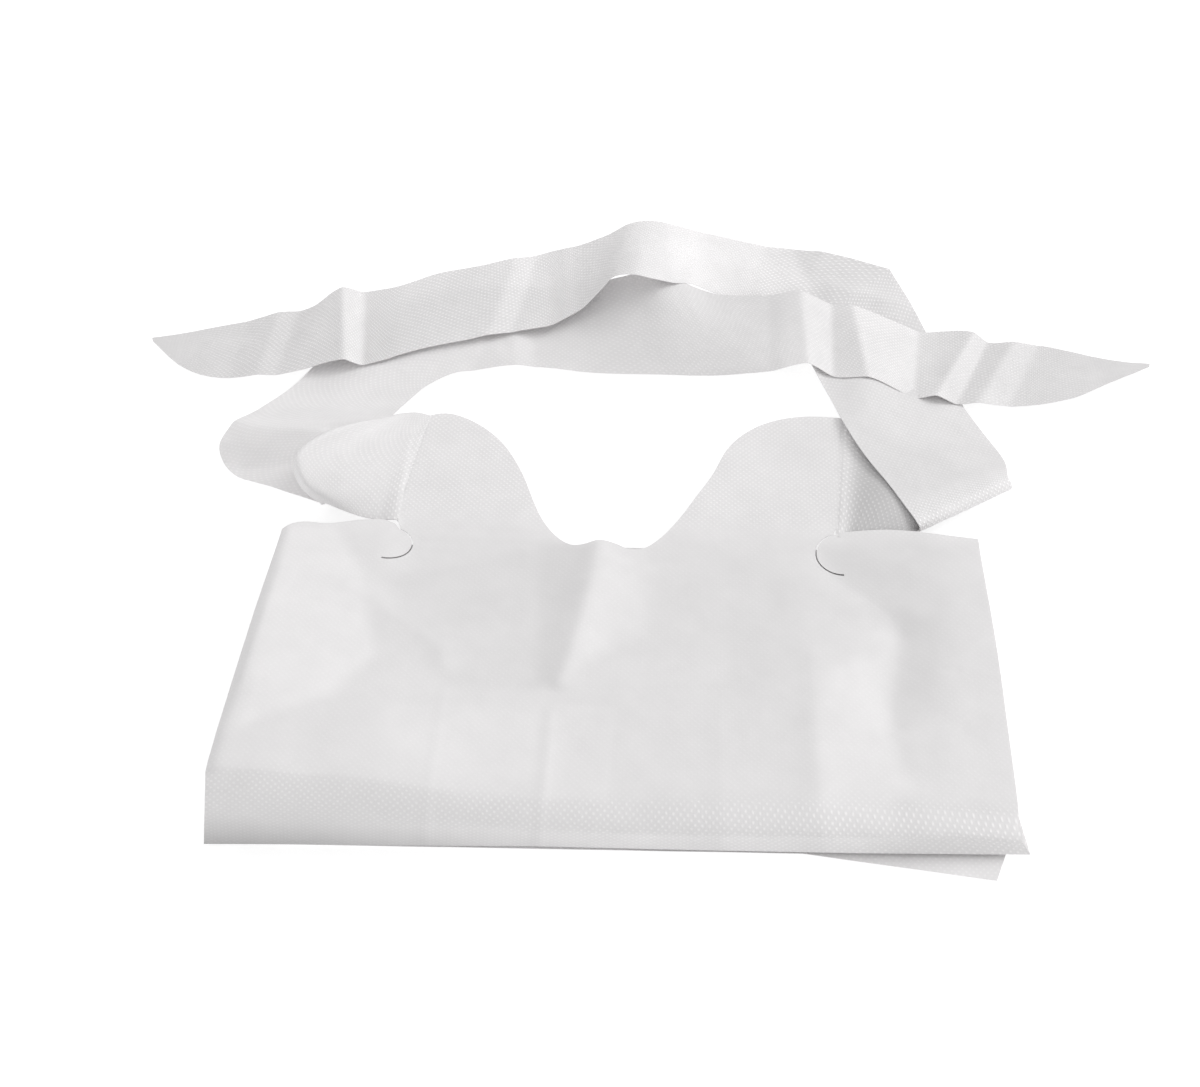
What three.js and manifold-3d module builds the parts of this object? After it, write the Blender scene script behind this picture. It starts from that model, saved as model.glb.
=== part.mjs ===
// Disposable neck cape of thin embossed film, folded flat into a packet with its two tie straps
// laid across each other behind the neck notch.
// Millimetres, +Z up. +X runs along the packet, +Y from the front fold towards the tie straps.
// The origin is under the middle of the packet, on the surface that it rests on.
import * as THREE from "three";
import { mergeVertices } from "three/addons/utils/BufferGeometryUtils.js";
import Module from "manifold-3d";

const wasm = await Module();
wasm.setup();

// Driving dimensions
const FILM = 1.0; // stand-in thickness of one film layer
const LAYER_STEP = 1.5; // rise from one skirt section to the next
const HINGE_Z = 2.2; // height of the front fold's lower edge
const SLIT = 1.0; // width of the tear-stop slits
const TEAR_STOP_R = 9.8; // radius of the round end of each slit

// The film is white, a little glossy and slightly see-through.
const FILM_COLOUR = 0xf3f2f1;
const FILM_ROUGHNESS = 0.42;

const cape = new THREE.Group();

function addMesh(name, geometry) {
  const material = new THREE.MeshStandardMaterial({
    color: FILM_COLOUR,
    roughness: FILM_ROUGHNESS,
    metalness: 0,
  });
  const mesh = new THREE.Mesh(geometry, material);
  mesh.name = name;
  cape.add(mesh);
}

// A film layer follows a net of points: each row is a smooth curve, and the rows are joined smoothly.
function surfaceOf(net) {
  const rows = net.map((row) => new THREE.CatmullRomCurve3(row.map((point) => new THREE.Vector3(...point))));
  return (u, v) => new THREE.CatmullRomCurve3(rows.map((row) => row.getPoint(u))).getPoint(v);
}

function normalAt(surface, u, v) {
  const step = 0.002;
  const alongRow = surface(Math.min(u + step, 1), v).sub(surface(Math.max(u - step, 0), v));
  const acrossRows = surface(u, Math.min(v + step, 1)).sub(surface(u, Math.max(v - step, 0)));
  return alongRow.cross(acrossRows).normalize();
}

// A box is bent onto the net's surface, so the layer is closed and FILM thick.
function filmGeometry(net, along, across) {
  const surface = surfaceOf(net);
  const geometry = new THREE.BoxGeometry(1, 1, 1, along, across, 1);
  const position = geometry.attributes.position;
  for (let i = 0; i < position.count; i += 1) {
    const u = position.getX(i) + 0.5;
    const v = position.getY(i) + 0.5;
    const lift = normalAt(surface, u, v).multiplyScalar(position.getZ(i) * FILM);
    const point = surface(u, v).add(lift);
    position.setXYZ(i, point.x, point.y, point.z);
  }
  return cleaned(geometry);
}

function cleaned(geometry) {
  geometry.deleteAttribute("normal");
  geometry.deleteAttribute("uv");
  const merged = mergeVertices(geometry, 1e-4);
  merged.computeVertexNormals();
  return merged;
}

function toSolid(geometry) {
  return new wasm.Manifold(
    new wasm.Mesh({
      numProp: 3,
      vertProperties: new Float32Array(geometry.attributes.position.array),
      triVerts: new Uint32Array(geometry.index.array),
    }),
  );
}

function toGeometry(solid) {
  const mesh = solid.getMesh();
  const geometry = new THREE.BufferGeometry();
  geometry.setAttribute("position", new THREE.BufferAttribute(mesh.vertProperties, 3));
  geometry.setIndex(new THREE.BufferAttribute(mesh.triVerts, 1));
  geometry.computeVertexNormals();
  return geometry;
}

// Skirt: the flat sections that the film is folded into under the chest panel.
const SECTION_OUTLINES = [
  [[-124, -66], [60, -68.5], [121.6, -77], [126, -66], [128, 60], [-122, 58]],
  [[-126, -66], [127, -63], [128, 61], [-124, 56]],
  [[-125, -65.5], [128, -62.5], [127, 60], [-125, 57]],
  [[-126.5, -66], [128, -63], [128.5, 61.5], [-124.5, 55]],
];

function addSkirt() {
  SECTION_OUTLINES.forEach((outline, level) => {
    const shape = new THREE.Shape(outline.map(([x, y]) => new THREE.Vector2(x, y)));
    const geometry = new THREE.ExtrudeGeometry(shape, { depth: FILM, bevelEnabled: false });
    geometry.translate(0, 0, level * LAYER_STEP);
    addMesh(`skirt_section_${level + 1}`, cleaned(geometry));
  });
}

// Front fold: the puffed film that drops from the chest panel's front edge to the table.
function addFrontFold() {
  const lower = [
    [-133, -75.3], [-99, -74], [-68, -73], [-25, -71.4], [26, -70.6], [75, -69.6], [110, -68.5],
    [133, -67.7],
  ];
  const bulge = [
    [-130.8, -75.4, 18], [-99, -74.6, 17], [-68.5, -74, 15], [-25, -72.4, 11.5], [26, -70.8, 10],
    [75, -68, 8.5], [110, -66, 7.5], [131.5, -65.5, 5.5],
  ];
  const upper = [
    [-128.4, -69.5, 36], [-99, -69, 33], [-68, -68, 28], [-23, -66, 20], [26, -63, 17], [75, -60, 13],
    [110, -58.5, 11], [129.5, -58.5, 8.5],
  ];
  const net = [lower.map(([x, y]) => [x, y, HINGE_Z]), bulge, upper];
  addMesh("front_fold", filmGeometry(net, 16, 6));
}

// Chest panel, with the shoulders cut free of the lobes and ties by two slits that end in round hooks.
function tearStop(centreX, centreY, fromDegrees, toDegrees) {
  const from = THREE.MathUtils.degToRad(fromDegrees);
  const to = THREE.MathUtils.degToRad(toDegrees);
  const shape = new THREE.Shape();
  shape.absarc(0, 0, TEAR_STOP_R + SLIT / 2, from, to, false);
  shape.absarc(0, 0, TEAR_STOP_R - SLIT / 2, to, from, true);
  const geometry = new THREE.ExtrudeGeometry(shape, { depth: 40, bevelEnabled: false, curveSegments: 10 });
  geometry.translate(centreX, centreY, 0);
  return toSolid(cleaned(geometry));
}

function addChestPanel() {
  const columns = [-128.4, -112, -92, -78, -50, -22, 4, 36, 66, 80, 106, 129.6];
  const rows = [
    { y: [-68.6, -67.8, -67.4, -67, -66.2, -65, -63.4, -61.4, -59.4, -58.9, -57.6, -57.4],
      z: [36, 34.4, 31.8, 30, 24.4, 20, 17.6, 16.2, 13.8, 12.8, 11.2, 8.6] },
    { y: [-30, -30, -30, -30, -30, -29, -28, -28, -27, -27, -27, -27],
      z: [30, 29, 26.6, 25, 20, 16.4, 14.8, 13.4, 12.2, 11.8, 10.6, 9.6] },
    { y: [5, 5, 5, 5, 5, 5, 5, 5, 5, 5, 5, 5],
      z: [24, 23, 21.4, 20, 16.2, 13.6, 12.2, 11.4, 10.8, 10.6, 10, 9.4] },
    { y: [35, 36, 40, 34, 34, 34, 33, 33, 33, 40, 40, 40],
      z: [18.8, 17.4, 15, 13.6, 12, 10.8, 10.4, 10, 9.8, 9.6, 9.4, 9.2] },
    { y: [54, 56.8, 63, 54, 54, 53.4, 53.2, 53.8, 54, 64, 66.4, 63.6],
      z: [15.6, 13.8, 11, 10, 9.6, 9.3, 9.2, 9.1, 9.1, 9.1, 9.1, 9] },
  ];
  const net = rows.map((row) => columns.map((x, i) => [x, row.y[i], row.z[i]]));
  const panel = toSolid(filmGeometry(net, 24, 12));
  const slits = [tearStop(-89.6, 50.4, -90, 62), tearStop(79, 54.2, 112, 270)];
  const cut = slits.reduce((solid, slit) => solid.subtract(slit), panel);
  addMesh("chest_panel", cleaned(toGeometry(cut)));
}

// Side folds: the panel's side edges turn down and run back under it.
function addSideFolds() {
  const left = [
    [[-129.4, -65, 34.6], [-130.8, -65, 25], [-131, -65, 14], [-126, -65, 7.6], [-100, -65, 7], [-66, -65, 6.9]],
    [[-129.4, -5, 24.8], [-130.4, -5, 19], [-130, -5, 12], [-125, -5, 7.4], [-100, -5, 6.9], [-66, -5, 6.9]],
    [[-129.4, 50, 15], [-130, 50, 12.4], [-129.4, 50, 9.6], [-124.5, 50, 7.2], [-100, 50, 6.9], [-66, 50, 6.9]],
  ];
  const right = [
    [[130.6, -44, 9.2], [131.4, -44, 8.4], [130.4, -44, 7.3], [120, -44, 6.9], [76, -44, 6.9]],
    [[130.6, 58, 8.8], [131.4, 58, 8.2], [130.4, 58, 7.3], [120, 58, 6.9], [76, 58, 6.9]],
  ];
  addMesh("side_fold_left", filmGeometry(left, 14, 5));
  addMesh("side_fold_right", filmGeometry(right, 10, 3));
}

// Lobes: the film on both sides of the neck notch, which the tie straps grow out of.
function addLobes() {
  const left = [
    [[-76, 54.8, 9.9], [-58, 55, 9.6], [-40, 55, 9.5], [-23, 54.8, 9.4]],
    [[-87.6, 67.6, 9.6], [-69, 67, 9.4], [-51, 66.4, 9.3], [-32.5, 66, 9.2]],
    [[-85.8, 86, 9.6], [-71, 87, 9.3], [-56, 88, 9.2], [-41, 88.5, 9.2]],
    [[-83.2, 105, 9.7], [-72, 107.5, 9.4], [-61, 109.5, 9.3], [-50.5, 107.5, 9.2]],
    [[-81, 122.5, 9.9], [-77, 123.6, 9.7], [-72, 123.4, 9.5], [-65.4, 121, 9.3]],
  ];
  const right = [
    [[7.6, 54.8, 9.4], [27, 55, 9.4], [47, 55, 9.4], [65, 55.4, 9.4]],
    [[18, 68, 9.2], [38, 68.4, 9.3], [58, 69, 9.4], [79.5, 69.6, 9.6]],
    [[29, 88.5, 9.2], [46, 88.4, 9.3], [63, 88.2, 9.4], [80.8, 88, 9.6]],
    [[36.9, 108.3, 9.2], [52, 108.6, 9.3], [67, 108.8, 9.5], [82.4, 109, 9.7]],
    [[52, 123.4, 9.3], [62, 127.6, 9.4], [73, 128.4, 9.6], [83.6, 127.6, 9.8]],
  ];
  addMesh("neck_lobe_left", filmGeometry(left, 6, 10));
  addMesh("neck_lobe_right", filmGeometry(right, 6, 10));
}

// A strap piece runs between two edges, with an optional line down its middle.
function addStrap(name, edges, along, across = 3) {
  addMesh(name, filmGeometry(edges, along, across));
}

// Left tie: a cone rises from the lobe, folds under itself, turns back and runs to the right.
function addLeftTie() {
  const root = [
    [[-89.4, 68.4, 9.2], [-101, 68, 8.2], [-109.6, 70.6, 7.9], [-116, 74, 7.6]],
    [[-87.6, 83, 9.6], [-101, 79.5, 10.8], [-115, 77, 13], [-123.6, 76, 16.6]],
    [[-86, 97, 9.8], [-100, 92, 12.2], [-115, 87, 17.4], [-127, 82.6, 23.6]],
    [[-84, 110, 9.9], [-94, 106, 12], [-106, 101, 16.4], [-117, 96.4, 24]],
    [[-82, 122.4, 9.9], [-86, 122.6, 10.8], [-90.6, 121.5, 11.6], [-95, 118.6, 13]],
  ];
  const inner = [
    [-96, 116.6, 8.6], [-97, 117.8, 8.2], [-98, 119.3, 7.8], [-98.4, 121.5, 7.4], [-97.6, 124, 6.8],
    [-95.6, 128.5, 6.2], [-91.5, 136, 5.6], [-85, 146, 5], [-74, 154.5, 4.4], [-60, 158.4, 4],
  ];
  const middle = [
    [-107, 97.5, 6.6], [-122, 101.5, 8.4], [-130, 106, 10], [-132, 111.5, 12], [-129, 119, 11.6],
    [-124, 128, 8.8], [-116, 143, 6.6], [-102, 162.5, 7], [-84, 177.5, 7.2], [-61, 182, 7.2],
  ];
  const outer = [
    [-117.5, 78.6, 2.2], [-138, 86.6, 2], [-157.6, 94.4, 3], [-161.5, 99.6, 11], [-157.4, 108.4, 14.6],
    [-149, 123, 11], [-140, 144, 4.8], [-121, 178, 6.2], [-94, 200, 7], [-62, 206, 7.2],
  ];
  const runFront = [
    [-58.6, 158.6, 4], [-41, 160.4, 3.8], [-19, 158.2, 3.4], [10, 158, 3.6], [32, 156.8, 5],
    [55, 157, 8], [70, 158.8, 9.4], [83, 153.4, 9.4], [97, 151.6, 9.2], [111.6, 145.4, 8.6],
  ];
  const runBack = [
    [-60.6, 206, 7.2], [-45, 207, 7.2], [-33, 206.6, 8.2], [-24, 206.5, 10.2], [-8, 206.4, 15],
    [4, 206, 16.4], [14, 206, 13.4], [22, 205.8, 9.4], [34, 205, 9], [50, 204.4, 9.4], [70, 204, 10.5],
    [80, 200.4, 10.5], [97, 194.2, 10.3], [117.8, 186.4, 9.3],
  ];
  const endFront = [
    [113.2, 144.6, 8.4], [124, 144, 6.6], [134, 143.6, 5], [150, 146, 2.6], [166, 148.6, 1.8],
  ];
  const endBack = [
    [119.4, 185.8, 9], [128, 187, 7], [138, 188, 5.2], [150, 184.6, 3.6], [170.8, 185.2, 2.4],
  ];
  const tipFront = [
    [167.6, 149, 1.8], [181, 153.6, 1.6], [194, 162, 1.4], [205, 169, 1.3], [214.6, 174.4, 1.2],
  ];
  const tipBack = [
    [172.4, 185, 2.2], [182, 182, 2], [193, 178.8, 1.7], [204.6, 176.6, 1.4], [215, 175.8, 1.2],
  ];
  addStrap("tie_left_root", root, 6, 8);
  addStrap("tie_left_turn", [outer, middle, inner], 20, 6);
  addStrap("tie_left_run", [runFront, runBack], 20);
  addStrap("tie_left_end", [endFront, endBack], 8);
  addStrap("tie_left_tip", [tipFront, tipBack], 8);
}

// Right tie: it leaves the lobe, rolls over and runs back under the left tie to the corner that it is cut
// with, and past the corner it crosses over the left tie.
function addRightTie() {
  const root = [
    [[81.2, 71.4, 9.5], [92, 70, 9], [101, 70.6, 5.6], [107.6, 72.6, 3.6]],
    [[82, 90, 9.8], [97, 84, 11], [111, 80, 7.2], [120.6, 80.8, 3.6]],
    [[83.2, 110, 10], [103, 98.5, 10.8], [122.6, 90.8, 7.4], [133, 89.2, 3.6]],
    [[84.8, 127, 10], [105.6, 115.6, 8.8], [130.4, 102.8, 6.4], [145, 97.2, 3.6]],
  ];
  const rollEnds = [[108, 72.6], [145.4, 96.8]];
  const rollProfile = [[0, 3.6], [2.2, 4.4], [3, 6.2], [2.2, 8], [0, 8.8]];
  const outwards = [0.54, -0.84];
  const roll = rollEnds.map(([x, y]) =>
    rollProfile.map(([out, z]) => [x + outwards[0] * (out + 0.8), y + outwards[1] * (out + 0.8), z]));
  const runLeft = [
    [106.8, 74.4, 8.9], [98.6, 87.6, 13.4], [89.6, 104.6, 14.2], [82.6, 124, 12.8], [77.8, 144.8, 7.8],
    [71, 165, 6.6], [66.8, 182.6, 5.2],
  ];
  const runRight = [
    [145, 98.6, 8.9], [144.8, 106, 9], [139.6, 123.6, 6.4], [133.4, 144, 2.6], [129, 159, 2.8],
    [122.4, 188, 3.6], [116.4, 212, 4.2], [110, 230.6, 4.6],
  ];
  const returnFront = [
    [65.8, 184.2, 5.2], [60, 188, 5.2], [53, 193, 5.2], [46, 199.6, 5.4], [39, 207, 6.2],
    [30, 209.2, 8.4], [22.6, 209, 11.6], [14, 201, 18], [6, 195.4, 24], [-3, 193.4, 27.6],
    [-11, 194.8, 25], [-16, 194, 19], [-25, 187.6, 12.6], [-35, 181.4, 9.6],
  ];
  const returnBack = [
    [108.6, 232.2, 4.8], [90, 236, 6.8], [70, 238, 9], [56, 239, 11], [48, 239, 12.6], [40, 238.8, 14.4],
    [32, 238.4, 16.4], [25, 237.8, 18.2], [16, 237, 21], [8, 235.6, 24], [0, 233.8, 25.4],
    [-6, 232.4, 24.6], [-15, 233, 18], [-28, 232.2, 12.4], [-40.6, 231.2, 9.6],
  ];
  const endFront = [
    [-36.6, 180.8, 9.5], [-50, 177.8, 9], [-71, 169.7, 9], [-89, 163.8, 9], [-104, 157, 9],
    [-115, 153.2, 9],
  ];
  const endBack = [
    [-42, 230.8, 9.5], [-57, 225, 9], [-72, 219, 9], [-88, 214, 9], [-104, 205, 9], [-119.4, 201.8, 8.7],
  ];
  const tipFront = [
    [-116.4, 153.2, 8.9], [-126, 153.2, 7.6], [-137, 151, 6.4], [-154, 150.4, 3.6], [-168, 150, 2.4],
    [-180, 151.6, 1.8], [-191, 157.4, 1.5], [-206.4, 172, 1.4],
  ];
  const tipBack = [
    [-120.8, 202, 8.6], [-127, 202.4, 7.2], [-133, 200, 6], [-139.6, 194, 5], [-152, 191, 3.8],
    [-174, 184.4, 2.3], [-191, 179, 1.7], [-207, 174.8, 1.4],
  ];
  addStrap("tie_right_root", root, 6, 6);
  addStrap("tie_right_roll", roll, 8);
  addStrap("tie_right_run", [runRight, runLeft], 16);
  addStrap("tie_right_return", [returnBack, returnFront], 26);
  addStrap("tie_right_end", [endBack, endFront], 8);
  addStrap("tie_right_tip", [tipBack, tipFront], 10);
}

addSkirt();
addFrontFold();
addChestPanel();
addSideFolds();
addLobes();
addLeftTie();
addRightTie();

export default cape;
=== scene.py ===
"""A disposable neck cape of thin embossed film, folded flat, with its two tie straps crossed behind
the neck notch. Each part of the film is a thin sheet bent over the CAD part that it replaces.

Nets, outlines and creases are in millimetres, in the frame of the CAD part: +X along the packet,
+Y towards the tie straps, +Z up. Blender's meshes are in metres."""

import math

import bpy
import numpy as np
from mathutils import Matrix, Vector, geometry, noise


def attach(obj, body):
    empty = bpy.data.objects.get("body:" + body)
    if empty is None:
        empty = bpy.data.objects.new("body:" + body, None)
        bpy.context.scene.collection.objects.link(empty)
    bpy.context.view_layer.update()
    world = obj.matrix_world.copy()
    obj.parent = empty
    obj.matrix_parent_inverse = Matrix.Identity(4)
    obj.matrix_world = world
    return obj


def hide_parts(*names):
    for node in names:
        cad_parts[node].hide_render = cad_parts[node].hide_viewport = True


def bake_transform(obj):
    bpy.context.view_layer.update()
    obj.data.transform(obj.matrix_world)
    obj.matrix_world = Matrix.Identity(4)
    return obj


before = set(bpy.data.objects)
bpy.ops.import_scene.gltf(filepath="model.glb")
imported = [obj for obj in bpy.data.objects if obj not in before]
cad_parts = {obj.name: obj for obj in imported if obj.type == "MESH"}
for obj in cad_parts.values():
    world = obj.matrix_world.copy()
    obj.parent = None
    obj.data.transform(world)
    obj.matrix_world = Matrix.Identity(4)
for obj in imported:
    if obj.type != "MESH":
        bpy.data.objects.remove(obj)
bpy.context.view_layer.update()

MM = 0.001
FILM = 0.25  # thickness that each film layer is drawn with
GRID = 1.5  # spacing of the vertices on the bib
STRAP_GRID = 1.1  # spacing of the vertices along the ties
SKIRT_GRID = 4.0  # spacing of the vertices on the skirt
TRIANGLE_ROW = 0.866  # distance between the rows of a triangular grid, for a spacing of 1
TIE_WIDTH = 50.8
EMBOSS_PITCH = 1.15  # distance between the rows of embossed dots
EMBOSS_DEPTH = 0.15
SHARP_ANGLE = 55  # degrees between two faces from which the edge between them is drawn sharp

# ---------------------------------------------------------------- camera, floor and light

CAMERA_HEIGHT = 0.462
CAMERA_BACK = 0.36513
CAMERA_RIGHT = 0.00744
CAMERA_TILT = 42.96  # degrees up from looking straight down
CAMERA_TURN = 2.46  # degrees anticlockwise from looking along +Y
FLOOR_SIZE = 24
FLOOR_Z = -0.0006
FLOOR_GREY = 0.5
FLOOR_GLOW = 0.66  # keeps the floor white without lights so strong that the film turns white too
WORLD_STRENGTH = 0.8
LIGHT_AIM = (0.0, 0.05, 0.0)
LIGHTS = [  # name, position, width and height, watts
    ("key_back_right", (2.8, 1.85, 2.18), (2.2, 1.8), 72),
    ("fill_front", (-0.6, -3.0, 1.9), (2.4, 1.6), 13),
]


def make_camera():
    data = bpy.data.cameras.new("camera")
    data.lens = 50
    data.sensor_width = 36
    data.clip_start = 0.01
    camera = bpy.data.objects.new("camera", data)
    camera.location = (CAMERA_RIGHT, -CAMERA_BACK, CAMERA_HEIGHT)
    camera.rotation_euler = (math.radians(CAMERA_TILT), 0, math.radians(CAMERA_TURN))
    bpy.context.scene.collection.objects.link(camera)
    bpy.context.scene.camera = camera


def make_floor():
    bpy.ops.mesh.primitive_plane_add(size=FLOOR_SIZE, location=(0, 0, FLOOR_Z))
    floor = bpy.context.object
    floor.name = "floor"
    material = bpy.data.materials.new("floor")
    material.use_nodes = True
    shader = material.node_tree.nodes["Principled BSDF"]
    shader.inputs["Base Color"].default_value = (FLOOR_GREY, FLOOR_GREY, FLOOR_GREY, 1)
    shader.inputs["Roughness"].default_value = 1.0
    shader.inputs["Specular IOR Level"].default_value = 0.0
    shader.inputs["Emission Color"].default_value = (1, 1, 1, 1)
    shader.inputs["Emission Strength"].default_value = FLOOR_GLOW
    floor.data.materials.append(material)


def add_light(name, position, size, energy):
    data = bpy.data.lights.new(name, "AREA")
    data.shape = "RECTANGLE"
    data.size, data.size_y = size
    data.energy = energy
    light = bpy.data.objects.new(name, data)
    light.location = position
    light.rotation_euler = (Vector(LIGHT_AIM) - Vector(position)).to_track_quat("-Z", "Y").to_euler()
    bpy.context.scene.collection.objects.link(light)


def make_lights():
    world = bpy.data.worlds.new("studio")
    world.use_nodes = True
    background = world.node_tree.nodes["Background"]
    background.inputs["Color"].default_value = (1, 1, 1, 1)
    background.inputs["Strength"].default_value = WORLD_STRENGTH
    bpy.context.scene.world = world
    for light in LIGHTS:
        add_light(*light)
    view = bpy.context.scene.view_settings
    view.view_transform = "Standard"
    view.look = "None"
    view.exposure = 0.0
    view.gamma = 1.0


# ---------------------------------------------------------------- material

FILM_COLOUR = (0.86, 0.849, 0.852)
DOT_SHARPNESS = 1.5
# The raised dots are coloured lighter as a painted glint, in place of the highlights they catch.
DOT_PAINTED_GLINT = 0.24  # how much lighter the raised dots look
DOT_AVERAGE = 0.18  # the dots' mean height, which is taken off again so that the film keeps its colour
DOT_WEAR = (0.4, 1.2)  # least depth of the dots, and how much the uneven embossing adds to it
GRAIN_HEIGHT = 0.2
HAZE = (0.94, 0.12)  # least density of the film, and how much the haze adds to it
ROUGHNESS = (0.4, 0.14)  # least roughness, and how much the haze adds to it
LIGHT_THROUGH = 0.2  # share of the light that the film scatters through itself
FILM_IOR = 1.42


def node(tree, kind, **inputs):
    made = tree.nodes.new(kind)
    for name, value in inputs.items():
        made.inputs[name].default_value = value
    return made


def math_node(tree, operation, first, second):
    made = tree.nodes.new("ShaderNodeMath")
    made.operation = operation
    for socket, value in zip(made.inputs, (first, second)):
        if isinstance(value, (int, float)):
            socket.default_value = value
        else:
            tree.links.new(value, socket)
    return made.outputs[0]


def attribute(tree, name):
    made = tree.nodes.new("ShaderNodeAttribute")
    made.attribute_name = name
    return made.outputs["Fac"]


def cloudiness(tree, place, **inputs):
    """Noise over the flat film."""
    made = node(tree, "ShaderNodeTexNoise", **inputs)
    tree.links.new(place, made.inputs["Vector"])
    return made.outputs["Fac"]


def ranged(tree, value, low_and_span):
    """The value, from 0 to 1, brought into a range."""
    low, span = low_and_span
    return math_node(tree, "ADD", math_node(tree, "MULTIPLY", value, span), low)


def film_material():
    """White film with a lattice of embossed dots, in millimetres of flat film. Each vertex says how deep
    the dots are there ("emboss"), which also sets their painted glint, and how much painted light or shade
    its colour gets."""
    material = bpy.data.materials.new("embossed_film")
    material.use_nodes = True
    tree = material.node_tree
    shader = tree.nodes["Principled BSDF"]
    uv = tree.nodes.new("ShaderNodeUVMap")
    uv.uv_map = "film"
    place = uv.outputs["UV"]
    split = tree.nodes.new("ShaderNodeSeparateXYZ")
    tree.links.new(place, split.inputs[0])
    turn = math.pi / EMBOSS_PITCH
    across = math_node(tree, "SINE", math_node(tree, "MULTIPLY", split.outputs["X"], turn), 0)
    along = math_node(tree, "SINE", math_node(tree, "MULTIPLY", split.outputs["Y"], turn), 0)
    lattice = math_node(tree, "MULTIPLY", across, along)
    uneven = ranged(tree, cloudiness(tree, place, Scale=0.08, Detail=3.0, Roughness=0.6), DOT_WEAR)
    dots = math_node(tree, "POWER", math_node(tree, "MAXIMUM", lattice, 0), DOT_SHARPNESS)
    worn = math_node(tree, "MULTIPLY", dots, uneven)
    depth = math_node(tree, "MULTIPLY", worn, attribute(tree, "emboss"))
    grain = cloudiness(tree, place, Scale=0.9, Detail=2.0, Roughness=0.5)
    relief = math_node(tree, "ADD", depth, math_node(tree, "MULTIPLY", grain, GRAIN_HEIGHT))
    bump = node(tree, "ShaderNodeBump", Strength=1.0, Distance=EMBOSS_DEPTH * MM)
    tree.links.new(relief, bump.inputs["Height"])
    tree.links.new(bump.outputs["Normal"], shader.inputs["Normal"])
    cloud = cloudiness(tree, place, Scale=0.05, Detail=4.0, Roughness=0.6)
    # Painted glint: the raised dots are coloured lighter, standing in for the highlights they catch.
    painted_glint = ranged(tree, depth, (1 - DOT_PAINTED_GLINT * DOT_AVERAGE, DOT_PAINTED_GLINT))
    haze_and_painted_glint = math_node(tree, "MULTIPLY", ranged(tree, cloud, HAZE), painted_glint)
    # The colour's strength: random haze, the painted glint of the dots, and each vertex's painted light and
    # shade.
    haze_glint_and_painted_shading = math_node(tree, "MULTIPLY", haze_and_painted_glint, attribute(tree, "painted_shading"))
    tint = tree.nodes.new("ShaderNodeVectorMath")
    tint.operation = "SCALE"
    tint.inputs[0].default_value = FILM_COLOUR
    tree.links.new(haze_glint_and_painted_shading, tint.inputs["Scale"])
    tree.links.new(tint.outputs[0], shader.inputs["Base Color"])
    tree.links.new(ranged(tree, cloud, ROUGHNESS), shader.inputs["Roughness"])
    shader.inputs["IOR"].default_value = FILM_IOR
    behind = tree.nodes.new("ShaderNodeBsdfTranslucent")
    tree.links.new(tint.outputs[0], behind.inputs["Color"])
    tree.links.new(bump.outputs["Normal"], behind.inputs["Normal"])
    mix = tree.nodes.new("ShaderNodeMixShader")
    mix.inputs[0].default_value = LIGHT_THROUGH
    tree.links.new(shader.outputs[0], mix.inputs[1])
    tree.links.new(behind.outputs[0], mix.inputs[2])
    tree.links.new(mix.outputs[0], tree.nodes["Material Output"].inputs["Surface"])
    return material


# ---------------------------------------------------------------- surfaces


def spline(points, t):
    """Places at t, from 0 to 1, on the centripetal Catmull-Rom curve through the points. Each point may be
    an array of points, and then there is a curve for each of them."""
    points = np.asarray(points, float)
    t = np.atleast_1d(np.asarray(t, float))
    ends = (2 * points[:1] - points[1:2], 2 * points[-1:] - points[-2:-1])
    padded = np.concatenate([ends[0], points, ends[1]])
    place = np.clip(t, 0, 1) * (len(points) - 1)
    index = np.minimum(place.astype(int), len(points) - 2)
    f = (place - index).reshape((-1,) + (1,) * (points.ndim - 1))
    p0, p1, p2, p3 = (padded[index + k] for k in range(4))
    gap0, gap1, gap2 = (
        np.sqrt(np.linalg.norm(b - a, axis=-1, keepdims=True)) + 1e-9
        for a, b in ((p0, p1), (p1, p2), (p2, p3))
    )
    slope1 = ((p1 - p0) / gap0 - (p2 - p0) / (gap0 + gap1) + (p2 - p1) / gap1) * gap1
    slope2 = ((p2 - p1) / gap1 - (p3 - p1) / (gap1 + gap2) + (p3 - p2) / gap2) * gap1
    cubic = 2 * p1 - 2 * p2 + slope1 + slope2
    square = -3 * p1 + 3 * p2 - 2 * slope1 - slope2
    return p1 + slope1 * f + square * f**2 + cubic * f**3


def surface_grid(rows, u, v):
    """The net's surface at every pair of u (along each row) and v (from row to row)."""
    return spline(np.stack([spline(row, u) for row in rows]), v)


def even_steps(curve, spacing):
    """Values from 0 to 1, about spacing apart along a dense line of points, and the line's length."""
    steps = np.linalg.norm(np.diff(curve, axis=0), axis=1)
    travel = np.concatenate([[0], np.cumsum(steps)])
    count = max(2, int(round(travel[-1] / spacing)))
    stops = np.linspace(0, travel[-1], count + 1)
    return np.interp(stops, travel, np.linspace(0, 1, len(curve))), travel[-1]


def smooth(t):
    """0 below 0, 1 above 1, and an even curve between them."""
    t = np.clip(t, 0, 1)
    return t * t * (3 - 2 * t)


def ramp_between(x, start, end):
    """0 before start, 1 after end, and smooth between them."""
    return smooth((x - start) / (end - start))


CREST = 0.88  # share of a crease's height above which its edge is rounded


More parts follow.
